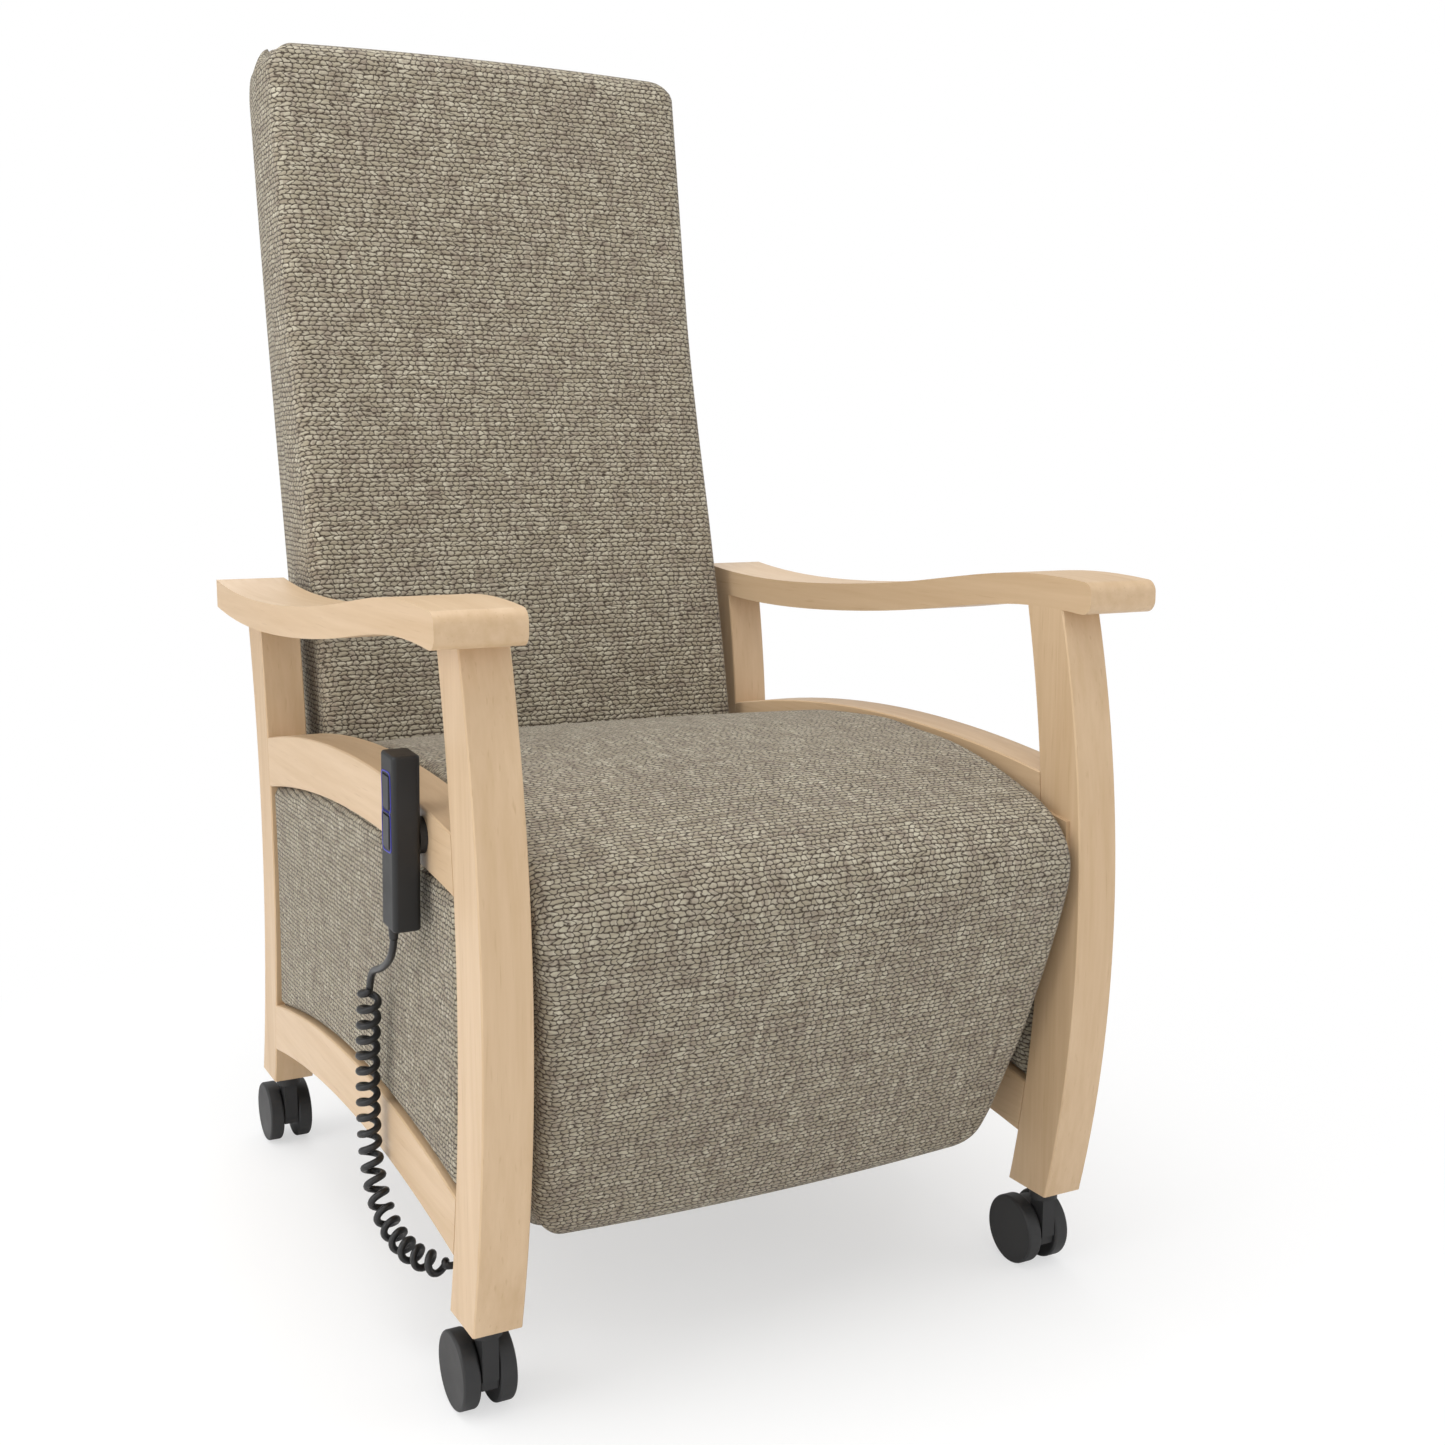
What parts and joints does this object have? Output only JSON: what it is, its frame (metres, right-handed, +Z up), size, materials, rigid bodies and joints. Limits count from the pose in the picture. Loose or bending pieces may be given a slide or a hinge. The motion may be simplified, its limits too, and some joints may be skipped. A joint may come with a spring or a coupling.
{
  "type": "patient recliner chair",
  "caption": "High-back powered patient recliner on castors, with beech side frames, woven upholstery, a lifting leg rest, a reclining back and a corded handset.",
  "frame": {"origin": "on the floor, under the middle of the chair's box without its cord", "axes": "+Z up, the chair faces -Y, the occupant's left hand is on +X"},
  "size_m": [0.661, 0.8679, 1.19],
  "materials": {
    "cord_rubber": "matt",
    "axle_steel": "zinc plated",
    "castor_wheel": "matt anthracite",
    "castor_hood": "matt black",
    "rocker": "matt",
    "handset_plastic": "matt moulded",
    "beech": "satin lacquered beech",
    "upholstery": "greige melange weave",
    "plywood": "raw birch plywood",
    "drive_plastic": "moulded grey",
    "frame_steel": "black powder coat"
  },
  "bodies": {
    "root": {"back_actuator_housing": "drive_plastic", "back_actuator_rod": "axle_steel", "back_pivot_shaft": "axle_steel", "control_box": "drive_plastic", "cord_gland": "cord_rubber", "cord_strain_relief": "cord_rubber", "front_cross_tube": "frame_steel", "handset_body": "handset_plastic", "handset_cord_coil": "cord_rubber", "handset_cord_lead": "cord_rubber", "handset_cord_tail": "cord_rubber", "handset_holder": "handset_plastic", "left_armrest": "beech", "left_back_leg": "beech", "left_front_leg": "beech", "left_legrest_bracket": "frame_steel", "left_lower_rail": "beech", "left_mid_rail": "beech", "left_side_panel": "upholstery", "leg_actuator_housing": "drive_plastic", "leg_actuator_rod": "axle_steel", "legrest_bracket_bolts": "axle_steel", "legrest_pivot_pins": "axle_steel", "power_inlet": "drive_plastic", "rear_cross_tube": "frame_steel", "right_armrest": "beech", "right_back_leg": "beech", "right_front_leg": "beech", "right_legrest_bracket": "frame_steel", "right_lower_rail": "beech", "right_mid_rail": "beech", "right_side_panel": "upholstery", "seat_board": "plywood", "seat_cushion": "upholstery", "seat_frame": "frame_steel", "seat_frame_bolts": "axle_steel"},
    "legrest": {"legrest_pad": "upholstery", "legrest_board": "plywood", "left_legrest_arm": "frame_steel", "right_legrest_arm": "frame_steel"},
    "backrest": {"backrest_pad": "upholstery", "back_board": "plywood", "back_hinge_arms": "frame_steel"},
    "rocker_1": {"handset_rocker_1": "rocker"},
    "rocker_2": {"handset_rocker_2": "rocker"},
    "castor_front_right_swivel": {"castor_front_right_fork": "castor_hood"},
    "castor_front_right_roller": {"castor_front_right_axle": "axle_steel", "castor_front_right_wheels": "castor_wheel"},
    "castor_front_left_swivel": {"castor_front_left_fork": "castor_hood"},
    "castor_front_left_roller": {"castor_front_left_axle": "axle_steel", "castor_front_left_wheels": "castor_wheel"},
    "castor_rear_right_swivel": {"castor_rear_right_fork": "castor_hood"},
    "castor_rear_right_roller": {"castor_rear_right_axle": "axle_steel", "castor_rear_right_wheels": "castor_wheel"},
    "castor_rear_left_swivel": {"castor_rear_left_fork": "castor_hood"},
    "castor_rear_left_roller": {"castor_rear_left_axle": "axle_steel", "castor_rear_left_wheels": "castor_wheel"}
  },
  "joints": [
    {"name": "legrest_lift", "type": "hinge", "parent": "root", "child": "legrest", "pos_m": [0, -0.40195, 0.431], "axis": [-1, 0, 0], "range_deg": [0, 100]},
    {"name": "back_recline", "type": "hinge", "parent": "root", "child": "backrest", "pos_m": [0, 0.24505, 0.425], "axis": [-1, 0, 0], "range_deg": [0, 38]},
    {"name": "rocker_1_press", "type": "hinge", "parent": "root", "child": "rocker_1", "pos_m": [-0.3287, -0.3025, 0.47398], "axis": [0, 1, 0], "range_deg": [-2.5, 2.5], "stiffness_Nm_per_rad": 0.2},
    {"name": "rocker_2_press", "type": "hinge", "parent": "root", "child": "rocker_2", "pos_m": [-0.3287, -0.30445, 0.50592], "axis": [0, 1, 0], "range_deg": [-2.5, 2.5], "stiffness_Nm_per_rad": 0.2},
    {"name": "castor_front_right_swivel", "type": "hinge", "parent": "root", "child": "castor_front_right_swivel", "pos_m": [-0.27935, -0.36755, 0.083], "axis": [0, 0, 1], "continuous": true},
    {"name": "castor_front_right_roll", "type": "hinge", "parent": "castor_front_right_swivel", "child": "castor_front_right_roller", "pos_m": [-0.27935, -0.34555, 0.0325], "axis": [1, 0, 0], "continuous": true},
    {"name": "castor_front_left_swivel", "type": "hinge", "parent": "root", "child": "castor_front_left_swivel", "pos_m": [0.27935, -0.36755, 0.083], "axis": [0, 0, 1], "continuous": true},
    {"name": "castor_front_left_roll", "type": "hinge", "parent": "castor_front_left_swivel", "child": "castor_front_left_roller", "pos_m": [0.27935, -0.34555, 0.0325], "axis": [1, 0, 0], "continuous": true},
    {"name": "castor_rear_right_swivel", "type": "hinge", "parent": "root", "child": "castor_rear_right_swivel", "pos_m": [-0.27935, 0.26775, 0.083], "axis": [0, 0, 1], "continuous": true},
    {"name": "castor_rear_right_roll", "type": "hinge", "parent": "castor_rear_right_swivel", "child": "castor_rear_right_roller", "pos_m": [-0.27935, 0.28975, 0.0325], "axis": [1, 0, 0], "continuous": true},
    {"name": "castor_rear_left_swivel", "type": "hinge", "parent": "root", "child": "castor_rear_left_swivel", "pos_m": [0.27935, 0.26775, 0.083], "axis": [0, 0, 1], "continuous": true},
    {"name": "castor_rear_left_roll", "type": "hinge", "parent": "castor_rear_left_swivel", "child": "castor_rear_left_roller", "pos_m": [0.27935, 0.28975, 0.0325], "axis": [1, 0, 0], "continuous": true}
  ]
}
